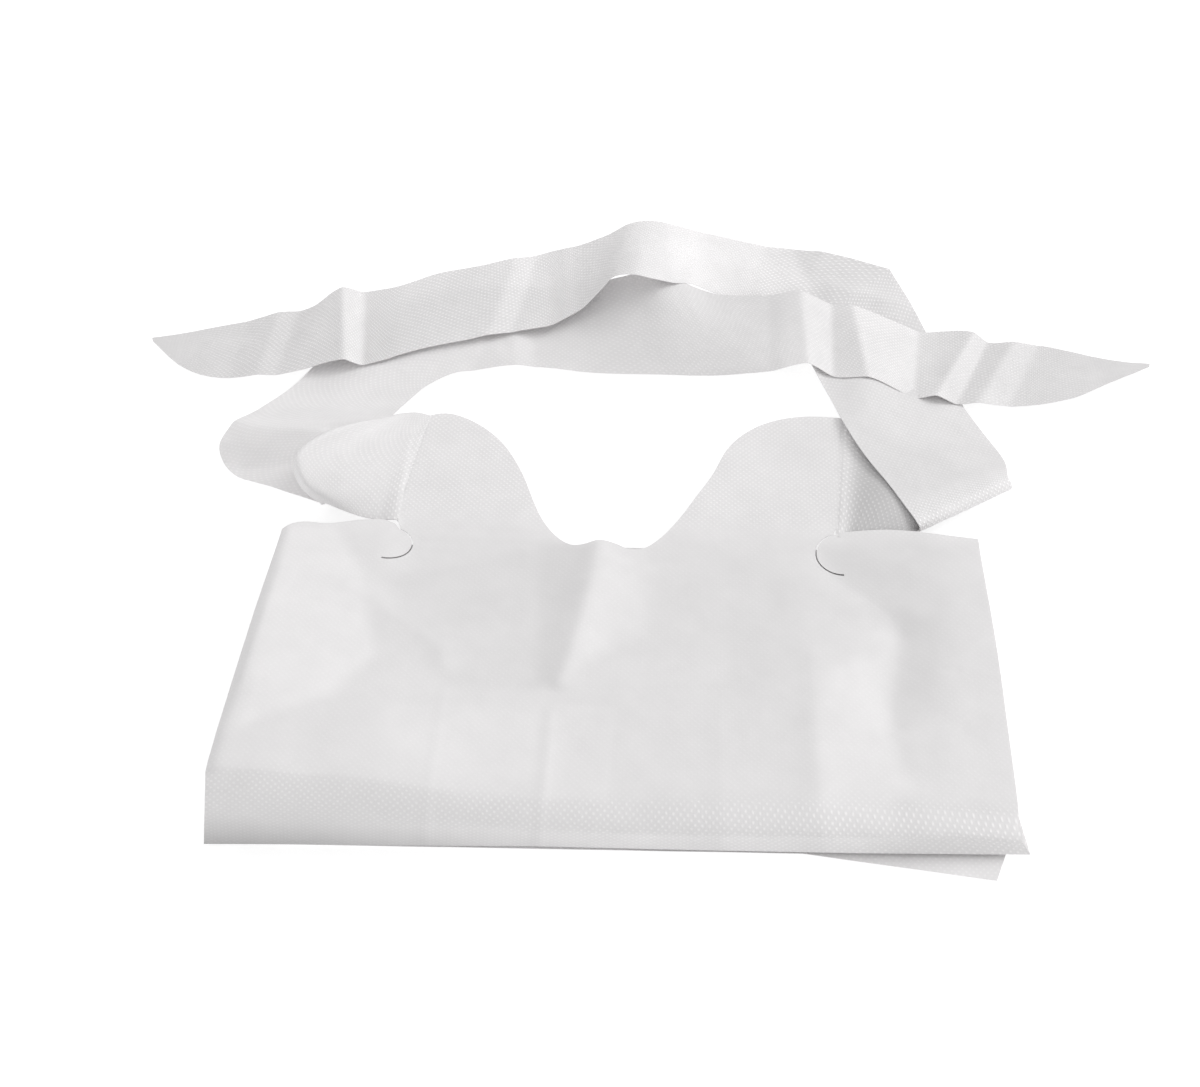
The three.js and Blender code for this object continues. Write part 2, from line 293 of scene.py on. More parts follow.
def crease(x, y, route, height, left, right, taper=(1.0, 1.0), fade=6.0):
    """A crease along a route of points: height on it, back to nothing left and right of it. taper scales it
    at the route's start and end, and it rises and dies out over fade at each end."""
    route = np.array(route, float)
    spans = np.diff(route, axis=0)
    lengths = np.linalg.norm(spans, axis=1)
    travel = np.concatenate([[0], np.cumsum(lengths)])
    nearest = np.full(np.shape(x), np.inf)
    side = np.zeros(np.shape(x))
    along = np.zeros(np.shape(x))
    for start, span, length, before in zip(route, spans, lengths, travel):
        dx, dy = x - start[0], y - start[1]
        t = (dx * span[0] + dy * span[1]) / length**2
        on = np.clip(t, 0, 1)
        gap = np.hypot(dx - on * span[0], dy - on * span[1])
        leftward = span[0] * dy - span[1] * dx > 0
        closer = gap < nearest
        nearest = np.where(closer, gap, nearest)
        side = np.where(closer, np.where(leftward, gap, -gap), side)
        along = np.where(closer, before + t * length, along)
    scale = taper[0] + (taper[1] - taper[0]) * np.clip(along / travel[-1], 0, 1)
    reach = np.where(side > 0, left, right) * scale
    profile = np.clip(1 - np.abs(side) / reach, 0, 1)
    profile = profile - np.clip(profile - CREST, 0, 1) ** 2 * 3
    ends = smooth(along / fade) * smooth((travel[-1] - along) / fade)
    return height * scale * profile * profile * (1.6 - 0.6 * profile) * ends


def creases(x, y, table):
    """The sum of the creases in a table of (route, height, left, right, taper, fade)."""
    return sum(crease(x, y, *row) for row in table)


def pleats(x, y, front, back, table):
    """Folded facets across a tie. Each row of the table is a crease: its x at y = front, its x at y = back
    and its height. The mean of three shifted copies rounds the creases a little."""
    share = np.clip((y - front) / (back - front), -0.2, 1.2)
    places = [a + (b - a) * share for a, b, _ in table]
    z = np.zeros_like(x)
    for shift in (-0.9, 0, 0.9):
        for x0, x1, (_, _, z0), (_, _, z1) in zip(places, places[1:], table, table[1:]):
            t = (x + shift - x0) / (x1 - x0)
            z += np.where((t >= 0) & (t < 1), z0 + (z1 - z0) * t, 0) / 3
    return z


def dent(x, y, centre, size, height, turn=0.0):
    """A soft bump or hollow: centre, half-widths and a turn in degrees."""
    angle = math.radians(turn)
    dx, dy = x - centre[0], y - centre[1]
    a = (dx * math.cos(angle) + dy * math.sin(angle)) / size[0]
    b = (-dx * math.sin(angle) + dy * math.cos(angle)) / size[1]
    return height * np.exp(-(a * a + b * b))


def dents(x, y, table):
    """The sum of the bumps and hollows in a table of (centre, half-widths, height, turn)."""
    return sum(dent(x, y, *row) for row in table)


def edge_distance(x, y, corners):
    """How far each place lies inside a closed outline, and below 0 outside it. The corners go either way."""
    a = np.array(corners, float)
    b = np.roll(a, -1, axis=0)
    inside = np.zeros(np.shape(x), bool)
    nearest = np.full(np.shape(x), np.inf)
    for (ax, ay), (bx, by) in zip(a, b):
        if ay != by:
            crossing = (bx - ax) * (y - ay) / (by - ay) + ax
            inside ^= ((ay > y) != (by > y)) & (x < crossing)
        size = max((bx - ax) ** 2 + (by - ay) ** 2, 1e-9)
        t = np.clip(((x - ax) * (bx - ax) + (y - ay) * (by - ay)) / size, 0, 1)
        nearest = np.minimum(nearest, np.hypot(x - ax - t * (bx - ax), y - ay - t * (by - ay)))
    return np.where(inside, nearest, -nearest)


def panes(x, y, table):
    """Painted light and shade on panes of folded film, from a table of (corners, softness of the edges,
    change).
    """
    return sum(change * smooth(0.5 + edge_distance(x, y, corners) / softness)
               for corners, softness, change in table)


def crinkle(points, height, wavelength, seed):
    """Small folds of thin film: ridged noise at each point, in the direction of +Z."""
    offset = Vector((seed * 13.7, seed * 7.1, seed * 3.3))
    scale = 1.0 / wavelength
    values = [noise.noise(Vector(p) * scale + offset) for p in points.reshape(-1, 3)]
    ridged = 0.5 - np.abs(np.array(values))
    return height * ridged.reshape(points.shape[:-1])


def film_mesh(name, points, faces, uv, emboss, painted_shading):
    """A sheet of film: vertices in millimetres, faces, each vertex's place on flat film and its looks."""
    mesh = bpy.data.meshes.new(name)
    corners = [tuple(p) for p in np.asarray(points) * MM]
    mesh.from_pydata(corners, [], [list(map(int, f)) for f in faces])
    layer = mesh.uv_layers.new(name="film")
    loops = np.zeros(len(mesh.loops), np.int32)
    mesh.loops.foreach_get("vertex_index", loops)
    layer.data.foreach_set("uv", np.asarray(uv, float)[loops].astype(np.float32).ravel())
    for label, value in (("emboss", emboss), ("painted_shading", painted_shading)):
        values = np.broadcast_to(np.asarray(value, np.float32), len(points))
        mesh.attributes.new(label, "FLOAT", "POINT").data.foreach_set("value", np.ascontiguousarray(values))
    mesh.shade_smooth()
    piece = bpy.data.objects.new(name, mesh)
    bpy.context.scene.collection.objects.link(piece)
    piece.data.materials.append(FILM_MATERIAL)
    solidify = piece.modifiers.new("film", "SOLIDIFY")
    solidify.thickness = FILM * MM
    solidify.offset = 0
    bpy.context.view_layer.objects.active = piece
    bpy.ops.object.modifier_apply(modifier=solidify.name)
    piece.data.set_sharp_from_angle(angle=math.radians(SHARP_ANGLE))
    return piece


def grid_faces(rows, columns):
    """The quads of a grid of vertices."""
    return [
        (r * columns + c, r * columns + c + 1, (r + 1) * columns + c + 1, (r + 1) * columns + c)
        for r in range(rows - 1)
        for c in range(columns - 1)
    ]


def grid_piece(name, points, along, emboss, painted_shading):
    """A piece of tie or fold from a grid of points. along is each column's distance along the flat film,
    and the dots fade where the film narrows to a point."""
    across, columns = points.shape[:2]
    uu, vv = np.meshgrid(along, np.linspace(0, TIE_WIDTH, across))
    uv = np.stack([uu.ravel(), vv.ravel()], axis=-1)
    width = np.linalg.norm(points[0] - points[-1], axis=-1)
    emboss = emboss * np.clip(width / TIE_WIDTH * 1.2, 0, 1)
    shape = (across, columns)
    looks = [np.broadcast_to(np.asarray(value, float), shape).ravel() for value in (emboss, painted_shading)]
    return film_mesh(name, points.reshape(-1, 3), grid_faces(across, columns), uv, *looks)


def patch(rows, across):
    """Grid of a net: across samples from its first row to its last, and steps of about STRAP_GRID along
    them. Also gives each column's distance from the first one."""
    middle = surface_grid(rows, np.linspace(0, 1, 200), [0.5])[0]
    u, length = even_steps(middle, STRAP_GRID)
    return surface_grid(rows, u, np.linspace(0, 1, across)), u * length


def join_patches(patches, across):
    """Lays patches end to end along a tie. Gives the grid, each column's travel, and the columns where they
    start and end."""
    points, along = patch(patches[0], across)
    joints = [0]
    for rows in patches[1:]:
        joints.append(points.shape[1] - 1)
        more, steps = patch(rows, across)
        points = np.concatenate([points, more[:, 1:]], axis=1)
        along = np.concatenate([along, along[-1] + steps[1:]])
    joints.append(points.shape[1] - 1)
    return points, along, joints


def soften(points, along, place, reach, height_only=False):
    """Rounds the tie where two patches meet at the travel place, over about reach to each side."""
    smoothed = points.copy()
    for _ in range(int(reach * 3)):
        smoothed[:, 1:-1] = (smoothed[:, :-2] + 2 * smoothed[:, 1:-1] + smoothed[:, 2:]) / 4
    if height_only:
        smoothed[..., :2] = points[..., :2]
    weight = np.exp(-(((along - place) / reach) ** 2))[None, :, None]
    return points * (1 - weight) + smoothed * weight


def raise_by(points, lift):
    """The grid with lift added to its height."""
    return points + np.stack([np.zeros_like(lift), np.zeros_like(lift), lift], axis=-1)


def crinkled(points, height, seed):
    """The grid with coarse and fine crinkles."""
    lift = crinkle(points, height, 15.0, seed) + crinkle(points, height * 0.45, 6.5, seed + 2)
    return raise_by(points, lift)


# ---------------------------------------------------------------- chest panel, lobes and front drop

# The panel's net: the columns' x, and each row's y and z at those columns, from front to back.
PANEL_X = [-128.4, -112, -92, -78, -50, -22, 4, 36, 66, 80, 106, 129.6]
PANEL_ROWS = [
    ([-68.6, -67.8, -67.4, -67, -66.2, -65, -63.4, -61.4, -59.4, -58.9, -57.6, -57.4],
     [36, 34.4, 31.8, 30, 24.4, 20, 17.6, 16.2, 13.8, 12.8, 11.2, 8.6]),
    ([-30, -30, -30, -30, -30, -29, -28, -28, -27, -27, -27, -27],
     [30, 29, 26.6, 25, 20, 16.4, 14.8, 13.4, 12.2, 11.8, 10.6, 9.6]),
    ([5] * 12, [24, 23, 21.4, 20, 16.2, 13.6, 12.2, 11.4, 10.8, 10.6, 10, 9.4]),
    ([35, 36, 40, 34, 34, 34, 33, 33, 33, 40, 40, 40],
     [18.8, 17.4, 15, 13.6, 12, 10.8, 10.4, 10, 9.8, 9.6, 9.4, 9.2]),
    ([54, 56.8, 63, 54, 54, 53.4, 53.2, 53.8, 54, 64, 66.4, 63.6],
     [15.6, 13.8, 11, 10, 9.6, 9.3, 9.2, 9.1, 9.1, 9.1, 9.1, 9]),
]
# The front drop: x and y of its lower edge, and x, y and z of its middle.
DROP_LOWER = [[-133, -75.3], [-99, -74], [-68, -73], [-25, -71.4], [26, -70.6], [75, -69.6], [110, -68.5],
              [133, -67.7]]
DROP_BULGE = [[-130.8, -75.4, 18], [-99, -74.6, 17], [-68.5, -74, 15], [-25, -72.4, 11.5], [26, -70.8, 10],
              [75, -68, 8.5], [110, -66, 7.5], [131.5, -65.5, 5.5]]
HINGE_Z = 2.2  # height of the drop's lower edge, which the packet opens about
SLIT_START = 0.25  # gap of a slit at the panel's edge, and at its end
SLIT_END = 0.8
TEAR_STOP_R = 9.8
LEFT_HOOK = (-89.6, 50.4)  # centre of the slit's arc
RIGHT_HOOK = (79.0, 54.2)


def panel_heights():
    """A table of the panel's height, from which any point's height is read."""
    net = [[[x, y, z] for x, y, z in zip(PANEL_X, ys, zs)] for ys, zs in PANEL_ROWS]
    return surface_grid(net, np.linspace(0, 1, 261), np.linspace(0, 1, 131))


PANEL_GRID = panel_heights()


def front_line(x):
    """The panel's front crease at x: y and z."""
    line = PANEL_GRID[0]
    return np.interp(x, line[:, 0], line[:, 1]), np.interp(x, line[:, 0], line[:, 2])


def panel_z(x, y):
    """Height of the panel's smooth surface: the net, read column by column."""
    x = np.clip(np.asarray(x, float), PANEL_X[0], PANEL_X[-1])
    y = np.asarray(y, float)
    column = np.interp(x, PANEL_GRID[0, :, 0], np.arange(PANEL_GRID.shape[1]))
    low = np.minimum(column.astype(int), PANEL_GRID.shape[1] - 2)
    share = column - low
    result = np.zeros_like(x)
    for i, (c, s, yy) in enumerate(zip(low.ravel(), share.ravel(), y.ravel())):
        line = PANEL_GRID[:, c] * (1 - s) + PANEL_GRID[:, c + 1] * s
        result.ravel()[i] = np.interp(yy, line[:, 1], line[:, 2])
    return result


EVEN = (1.0, 1.0)
PANEL_CREASES = [
    # the packet's centre crease
    ([(-10.7, 60), (-13.2, 31.7), (-17.2, 6.1), (-22.4, -20)], 3.2, 22, 24, (1.0, 0.4), 6),
    ([(-22.8, -27), (-22.8, -64)], 0.3, 6, 5, EVEN, 10),
    # cross creases of the last fold
    ([(-46, -21), (-7.5, -16.6), (42, -12.8)], -0.2, 4, 4, EVEN, 12),
    # diagonal crease on the left and the pane it bounds
    ([(-104.8, 27.2), (-84, 11.6), (-63, -5), (-58.7, -20)], 1.2, 12, 12, EVEN, 10),
    ([(-123, 50), (-125, -50)], 2.0, 42, 6, EVEN, 36),
    # valley and mound on the right
    ([(99, 30), (90.5, -30)], -3.0, 24, 27, EVEN, 14),
    ([(64, 60), (80, 39), (95, 26), (104, 6)], -1.0, 26, 12, EVEN, 18),
    ([(92, -12), (93, -58)], -0.9, 20, 18, EVEN, 16),
    ([(88, -27), (104.4, -24), (127, -18)], -0.35, 4, 3.5, EVEN, 8),
    ([(107.6, 1), (119, 1.4)], -0.35, 3, 3, EVEN, 4),
    # foot of the left lobe
    ([(-76, 62.5), (-50, 61), (-26, 60)], -0.7, 7, 5, EVEN, 8),
]
PANEL_DENTS = [
    ((108, 50), (18, 12), 1.0, 0),
    ((91, -25), (5, 4), -0.7, 30),
    ((-10.7, 57.4), (4, 4), 0.5, 0),
    ((6, 30), (18, 26), -0.6, 0),
    ((44, 16), (16, 34), 0.5, 0),
    ((-56, 30), (16, 18), -0.5, 0),
]
# Painted light and shade on panes of the folded film, lighter or darker than the rest: corners, softness and
# change.
PANEL_LIGHT_AND_SHADE = [
    ([(-121, -50), (-95, -32), (-84, -11), (-96, 32), (-108, 56), (-127, 54), (-126, 0)], 7, 0.07),
    ([(-74, -4), (-59, -22), (-22, -18), (-12, 54), (-32, 55), (-85, 31)], 8, -0.035),
    ([(-34, 56), (-12, 54), (-16, 20), (-22, -18), (-29, -16)], 6, -0.03),
    ([(-17, -8), (6, 12), (11, 46), (-10, 54)], 9, 0.05),
    ([(-22.6, -24), (-22.6, -64), (-3, -64), (-2, -24)], 2, 0.025),
    ([(-79, -34), (-72, -62), (-24, -57), (-26, -27)], 8, 0.025),
    ([(64, -60), (65, -18), (73, 0), (92, 9), (89, -26), (96, -50), (86, -61)], 7, 0.045),
    ([(73, 57), (80, 38), (96, 20), (98, -8), (107, -16), (114, 20), (121, 56), (106, 64)], 10, -0.045),
    ([(38, 50), (62, 40), (64, -60), (36, -60)], 12, -0.03),
    ([(50, 128), (84, 128), (80, 74), (60, 70)], 12, -0.02),
]
# Edges of hidden layers, drawn as a painted dark line left of each and a painted light band right of it: the
# edge's x, and the y in front of which it shows.
HIDDEN_EDGES = [(33, -18), (65, 12)]
EDGE_PAINTED_LIGHT = 0.022
EDGE_PAINTED_SHADE = 0.015
# Painted light and shade along hidden folds, a lighter line beside a darker one: x, half-width, change, and
# the y's between which they grow to the front.
HIDDEN_FOLD_SHADING = [
    (-58, 1.2, 0.02, -18, -26),
    (-60.6, 1.6, -0.02, -18, -26),
    (-22.6, 1.3, 0.03, -24, -30),
    (-25.4, 1.8, -0.03, -24, -30),
]
BROW = 0.9  # how far the front crease is rounded down
BROW_REACH = 6.0
SIDE_BROW = 2.6  # and the same for the fold along the left side
SIDE_REACH = 5.0
PANEL_EMBOSS = 0.1
LOBE_EMBOSS = 0.38  # how much deeper the dots look on the lobes than on the panel
DROP_EMBOSS = 0.25  # and on the front drop
PANEL_CRINKLES = ((0.5, 36.0, 3.0), (0.2, 13.0, 5.0))  # height, wavelength, seed


def panel_detail(x, y):
    """Creases and dimples that the folded film keeps, added to the panel's height."""
    return creases(x, y, PANEL_CREASES) + dents(x, y, PANEL_DENTS)


def panel_painted_shading(x, y):
    """Painted light and shade of the panel's facets and hidden folds, and along the edges of hidden layers
    below the film.
    """
    painted_shading = 1 + panes(x, y, PANEL_LIGHT_AND_SHADE)
    for edge, top in HIDDEN_EDGES:
        shown = ramp_between(-y, -top - 4, -top + 8)
        light = ramp_between(x, edge - 0.6, edge + 0.6) - ramp_between(x, edge + 3, edge + 26)
        painted_shading += shown * (EDGE_PAINTED_LIGHT * light - EDGE_PAINTED_SHADE * np.exp(-(((x - edge + 2) / 4) ** 2)))
    for place, width, change, start, full in HIDDEN_FOLD_SHADING:
        painted_shading += change * ramp_between(-y, -start, -full) * np.exp(-(((x - place) / width) ** 2))
    return painted_shading


def lobe_height(x, y):
    """The lobes lie almost flat, a little raised along the creases where the ties start."""
    base = 9.3 + 0.4 * ramp_between(np.abs(x + 2), 60, 84)
    shoulder = np.where(x < -87, panel_z(np.clip(x, -128.4, -87), np.full_like(x, 63.0)) - base, 0)
    return base + shoulder


def bib_height(x, y):
    """Height of the bib's top film at any place on the panel or a lobe."""
    flat = np.zeros_like(np.asarray(x, float))
    places = np.stack([x, y, flat], axis=-1)
    fine = sum(crinkle(places, *row) for row in PANEL_CRINKLES)
    front_y = front_line(x)[0]
    edge = np.clip(1 - (y - front_y) / BROW_REACH, 0, 1)
    side = np.clip(1 - (x + 129) / SIDE_REACH, 0, 1)
    panel = panel_z(x, np.maximum(y, front_y)) + panel_detail(x, y) + fine * ramp_between(y, -66, -50)
    panel -= BROW * edge**2 + SIDE_BROW * side**2
    lobe = ramp_between(y, 52, 64)
    return panel * (1 - lobe) + (lobe_height(x, y) + fine) * lobe


FLARE_LEFT = 0.0358  # how much wider the drop is at its lower edge, as a share of x
FLARE_RIGHT = 0.0262


def drop_point(x, t):
    """The front drop: t is 0 at the panel's front crease and 1 at the lower edge."""
    top_y = front_line(x)[0]
    top_z = bib_height(x, top_y)
    middle = np.array(DROP_BULGE, float)
    lower = np.array(DROP_LOWER, float)
    my, mz = (np.interp(x, middle[:, 0], middle[:, k]) for k in (1, 2))
    ly = np.interp(x, lower[:, 0], lower[:, 1])
    upper, under = np.clip(t * 2, 0, 1), np.clip(t * 2 - 1, 0, 1)
    y = top_y + (my - top_y) * np.sin(upper * math.pi / 2) + (ly - my) * under**1.5
    z = top_z + (mz - top_z) * upper**1.15 + (HINGE_Z - mz) * under
    return x * (1 + t * np.where(x < 0, FLARE_LEFT, FLARE_RIGHT)), y, z


def drop_length(x):
    """Length of the front drop along the film, a little more than its height."""
    _, top_z = front_line(x)
    return (top_z - HINGE_Z) * 1.12 + 3.0


def arc(centre, radii, start, end, count=16):
    """Points of an arc whose radius changes evenly between the two radii. The angles are in degrees."""
    angles = np.radians(np.linspace(start, end, count))
    reaches = np.linspace(*radii, count)
    return [(centre[0] + r * math.cos(a), centre[1] + r * math.sin(a)) for a, r in zip(angles, reaches)]


def curve_through(points, spacing=2.0):
    """Points about spacing apart on a smooth curve through the given ones."""
    points = np.array([[x, y, 0] for x, y in points], float)
    u, _ = even_steps(spline(points, np.linspace(0, 1, 400)), spacing)
    return [(p[0], p[1]) for p in spline(points, u)]


def panel_outline():
    """The cut edge of the bib in flat film: shoulders, tear-stop slits, lobes, notch, and the front drop."""
    outer = (TEAR_STOP_R + SLIT_START / 2, TEAR_STOP_R + SLIT_END / 2)
    inner = (TEAR_STOP_R - SLIT_START / 2, TEAR_STOP_R - SLIT_END / 2)
    left_shoulder = curve_through([(-128.4, 54), (-121, 57.2), (-112, 57.6), (-100, 61.6), (-92, 63),
                                   (-87.5, 61.6)])
    left_slit = arc(LEFT_HOOK, inner, 66, -90) + arc(LEFT_HOOK, outer[::-1], -90, 64)
    left_lobe = curve_through([(-86.8, 63), (-87.8, 68), (-85.8, 86), (-83.2, 105), (-81, 122.5)])
    left_top = curve_through([(-81, 122.5), (-77, 123.8), (-71.5, 123.4), (-64.5, 120.4), (-57, 114.5),
                              (-50.5, 107), (-45, 97.5), (-41, 88.5), (-36.6, 76), (-32.5, 66.6),
                              (-26, 57.6), (-21, 53.8), (-15.5, 54), (-10.4, 56.4), (-5, 55), (0, 53),
                              (5, 54), (11, 59), (18, 69), (24.5, 81), (31, 93.6), (37, 108.4),
                              (44, 117.6), (52, 123.6), (62, 127.4), (73, 128.4), (83.6, 127.6)])
    right_lobe = curve_through([(83.6, 127.6), (82.4, 109), (80.8, 88), (79.8, 72), (77.2, 66.6)])
    right_slit = arc(RIGHT_HOOK, outer, 108, 270) + arc(RIGHT_HOOK, inner[::-1], 270, 106)
    right_shoulder = curve_through([(79, 64.6), (86, 66), (96, 67), (106, 66.6), (119, 65), (129.6, 63.6)])
    back = (left_shoulder + left_slit + left_lobe[1:] + left_top[1:] + right_lobe[1:] + right_slit
            + right_shoulder)
    right_side = curve_through([(129.6, 63.6), (130.2, 10), (129.6, -57.4)])[1:]
    x_front = np.linspace(129.6, -128.4, 180)
    y_front = front_line(x_front)[0] - drop_length(x_front)
    front = list(zip(x_front, y_front))
    left_side = curve_through([(-128.4, -68.6), (-129, -5), (-128.4, 54)])[:-1]
    return back + right_side + front + left_side


def inside_points(outline, spacing):
    """A triangular grid of points inside the outline, kept clear of its edges."""
    corners = np.array(outline)
    low, high = corners.min(0), corners.max(0)
    points = []
    for r, y in enumerate(np.arange(low[1], high[1], spacing * TRIANGLE_ROW)):
        xs = np.arange(low[0] + (r % 2) * spacing / 2, high[0], spacing)
        points.append(np.stack([xs, np.full_like(xs, y)], axis=-1))
    points = np.concatenate(points)
    return points[edge_distance(points[:, 0], points[:, 1], outline) > spacing * 0.5]


def triangulated(outline, inner):
    """A mesh of triangles inside the outline, through the inner points: 2-D vertices and faces."""
    flat = [Vector(p) for p in outline] + [Vector(p) for p in inner]
    edges = [(i, (i + 1) % len(outline)) for i in range(len(outline))]
    verts, _, faces, _, _, _ = geometry.delaunay_2d_cdt(flat, edges, [], 1, 1e-4)
    return np.array([[v.x, v.y] for v in verts]), [f for f in faces if len(f) == 3]


def make_bib():
    """The top sheet in one piece. s is a place along the film from front to back, and equals y behind the
    front crease."""
    outline = panel_outline()
    grid = inside_points(outline, GRID)
    x_crease = np.arange(-127, 129, GRID)
    front = np.stack([x_crease, front_line(x_crease)[0]], axis=-1)
    clear = np.abs(grid[:, 1] - front_line(grid[:, 0])[0]) > GRID * 0.6
    flat, faces = triangulated(outline, np.concatenate([grid[clear], front]))
    x, s = flat[:, 0], flat[:, 1]
    front_y = front_line(x)[0]
    below = s < front_y
    t = np.clip((front_y - s) / drop_length(x), 0, 1)
    drop_x, drop_y, drop_z = drop_point(x, t)
    z = np.where(below, drop_z, bib_height(x, s))
    points = np.stack([drop_x, np.where(below, drop_y, s), z], axis=-1)
    lobe = ramp_between(s, 60, 74)
    # Deeper dots along the front crease, which also get more painted glint there.
    brow = 0.5 * smooth(1 - np.abs(s - front_y + 6) / 14)
    emboss = PANEL_EMBOSS + LOBE_EMBOSS * lobe + DROP_EMBOSS * np.where(below, 1, 0)
    emboss = emboss + brow * (0.4 + 0.5 * ramp_between(x, -20, 110))
    shade = np.where(below, t**1.5 * (0.05 + 0.38 * ramp_between(-x, -10, 130)), 0)
    piece = film_mesh("bib_film", points, faces, flat, emboss, panel_painted_shading(x, s) - shade)
    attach(piece, "bib")
    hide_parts("chest_panel", "front_fold", "neck_lobe_left", "neck_lobe_right")


# ---------------------------------------------------------------- side folds

FOLD_ACROSS = 70  # vertices from the front to the back of a side fold
FOLD_CRINKLE = 0.2
FOLD_SEED = 11
FOLD_EMBOSS = 0.3

# Each row starts at the panel's edge and goes down and under it. The rows go from front to back.
SIDE_LEFT = [
    [[-128.2, -67.6, 32.4], [-130, -67.6, 24], [-130.2, -67.6, 14], [-126, -67, 7.6], [-100, -65, 7],
     [-66, -65, 6.9]],
    [[-128.6, -5, 22.4], [-130, -5, 17.4], [-129.8, -5, 11.6], [-125, -5, 7.4], [-100, -5, 6.9],
     [-66, -5, 6.9]],
    [[-128, 53, 12.2], [-129.4, 52, 11], [-129, 51, 9.2], [-124.5, 50, 7.2], [-100, 50, 6.9],
     [-66, 50, 6.9]],
]
SIDE_RIGHT = [
    [[129.2, -55, 7.5], [129.8, -54, 7.3], [129, -52, 7.1], [120, -50, 6.1], [76, -48, 5.9]],
    [[129.6, 10, 8.8], [130.8, 10, 8.2], [130, 10, 7.3], [120, 10, 6.1], [76, 10, 5.9]],
    [[129.2, 62, 8.4], [130, 61.4, 8], [129.4, 61, 7.3], [120, 60, 6.1], [76, 58, 5.9]],
]


def make_side_fold(side, rows):
    points, along = patch(rows, FOLD_ACROSS)
    points = crinkled(points, FOLD_CRINKLE, FOLD_SEED)
    piece = grid_piece(f"side_fold_{side}_film", points, along, FOLD_EMBOSS, 1.0)
    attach(piece, "bib")
    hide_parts(f"side_fold_{side}")


# ---------------------------------------------------------------- skirt

SECTION_OUTLINES = [
    [(-126, -73.6), (60, -69.6), (121.6, -77), (126, -66), (128, 60), (-122, 58)],
    [(-127, -74.2), (127, -67), (128, 61), (-124, 56)],
    [(-125, -65.5), (128, -62.5), (127, 60), (-125, 57)],
    [(-126.5, -66), (128, -63), (128.5, 61.5), (-124.5, 55)],
]
LOWEST_LAYER = 0.5
LAYER_STEP = 1.5
SKIRT_CRINKLE = 0.35
SKIRT_SEED = 20.0
SKIRT_EMBOSS = 0.28


def make_skirt():
    """The folded layers under the bib, from the lowest up."""
    for level, corners in enumerate(SECTION_OUTLINES):
        outline = []
        for (ax, ay), (bx, by) in zip(corners, corners[1:] + corners[:1]):
            count = max(2, int(math.hypot(bx - ax, by - ay) / SKIRT_GRID))
            outline += [(ax + (bx - ax) * k / count, ay + (by - ay) * k / count) for k in range(count)]
        flat, faces = triangulated(outline, inside_points(outline, SKIRT_GRID))
        height = np.full((len(flat), 1), level * LAYER_STEP + LOWEST_LAYER)
        points = np.concatenate([flat, height], axis=1)
        points[:, 2] += crinkle(points, SKIRT_CRINKLE, 30.0, SKIRT_SEED + level)
        piece = film_mesh(f"skirt_film_{level + 1}", points, faces, flat, SKIRT_EMBOSS, 1.0)
        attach(piece, "skirt")
        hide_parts(f"skirt_section_{level + 1}")


# ---------------------------------------------------------------- ties

# A tie's nets lie end to end. A net's rows run along the tie, from one edge of the strap to the other.

ACROSS = 48  # vertices across a tie
SETTLE_REACH = 9.0  # length over which a tie comes out from under the bib
TIE_CRINKLE = 0.3
LEFT_SEED = 31
RIGHT_SEED = 41


def after(along, place, length):
    """0 up to a place along the tie and 1 from length past it, for each column."""
    return smooth((along - place) / length)[None, :]


def near(along, place, reach):
    """1 at a place along the tie and 0 further than reach from it, for each column."""
    return smooth(1 - np.abs(along - place) / reach)[None, :]


def settle(points, along):
    """Lets the start of a tie come out from just under the bib's film and cover the lobe's edge."""
    x, y, z = points[..., 0], points[..., 1], points[..., 2]
    hold = near(along, 0, SETTLE_REACH)
    emerging = 0.5 * after(along, 0, 2.2) - 0.3
    return np.stack([x, y, z * (1 - hold) + (bib_height(x, y) + emerging) * hold], axis=-1)


def tie_pieces(side, grid, along, joints, looks, sheets):
    """Cuts a whole tie into the piece that stays with the bib, its free end and its tip."""
    emboss, painted_shading = looks
    names = (f"tie_{side}_film", f"tie_{side}_end_film", f"tie_{side}_tip_film")
    pieces = []
    for name, first, last, sheet in zip(names, joints[:-1], joints[1:], sheets):
        cut = slice(first, last + 1)
        piece = grid_piece(name, grid[:, cut], along[cut], emboss[:, cut], painted_shading[:, cut])
        pieces.append(piece)
    return pieces


# The left tie: out of the lobe and up over a loose tuck, back under it, left along the table, up and around,
# then right across the other tie.
LEFT_ROOT = [
    [[-85.4, 63, 9.2], [-101, 66.8, 8.4], [-109.6, 70.6, 7.9], [-116, 74, 7.6]],
    [[-85.6, 83, 9.6], [-101, 79.5, 10.8], [-115, 77, 13], [-123.6, 76, 16.6]],
    [[-84.2, 97, 9.8], [-100, 92, 12.2], [-115, 87, 17.4], [-127, 82.6, 23.6]],
    [[-82.4, 110, 9.9], [-94, 106, 12], [-106, 101, 16.4], [-117, 96.4, 24]],
    [[-80.6, 122, 9.9], [-86, 122.6, 10.8], [-90.6, 121.5, 11.6], [-95, 118.6, 13]],
]
LEFT_CURL = [
    [[-116, 74, 7.6], [-118.2, 75.6, 5], [-117.5, 78.6, 2.2]],
    [[-123.6, 76, 16.6], [-125.4, 79, 10], [-120, 85, 6], [-112, 88, 4.4]],
    [[-127, 82.6, 23.6], [-129.2, 87, 16], [-121, 94, 9.4], [-107, 97.5, 6.6]],
    [[-117, 96.4, 24], [-120.6, 102, 16.4], [-112, 106, 10], [-101.5, 107, 7.6]],
    [[-95, 118.6, 13], [-96.8, 118.8, 10.6], [-96, 116.6, 8.6]],
]
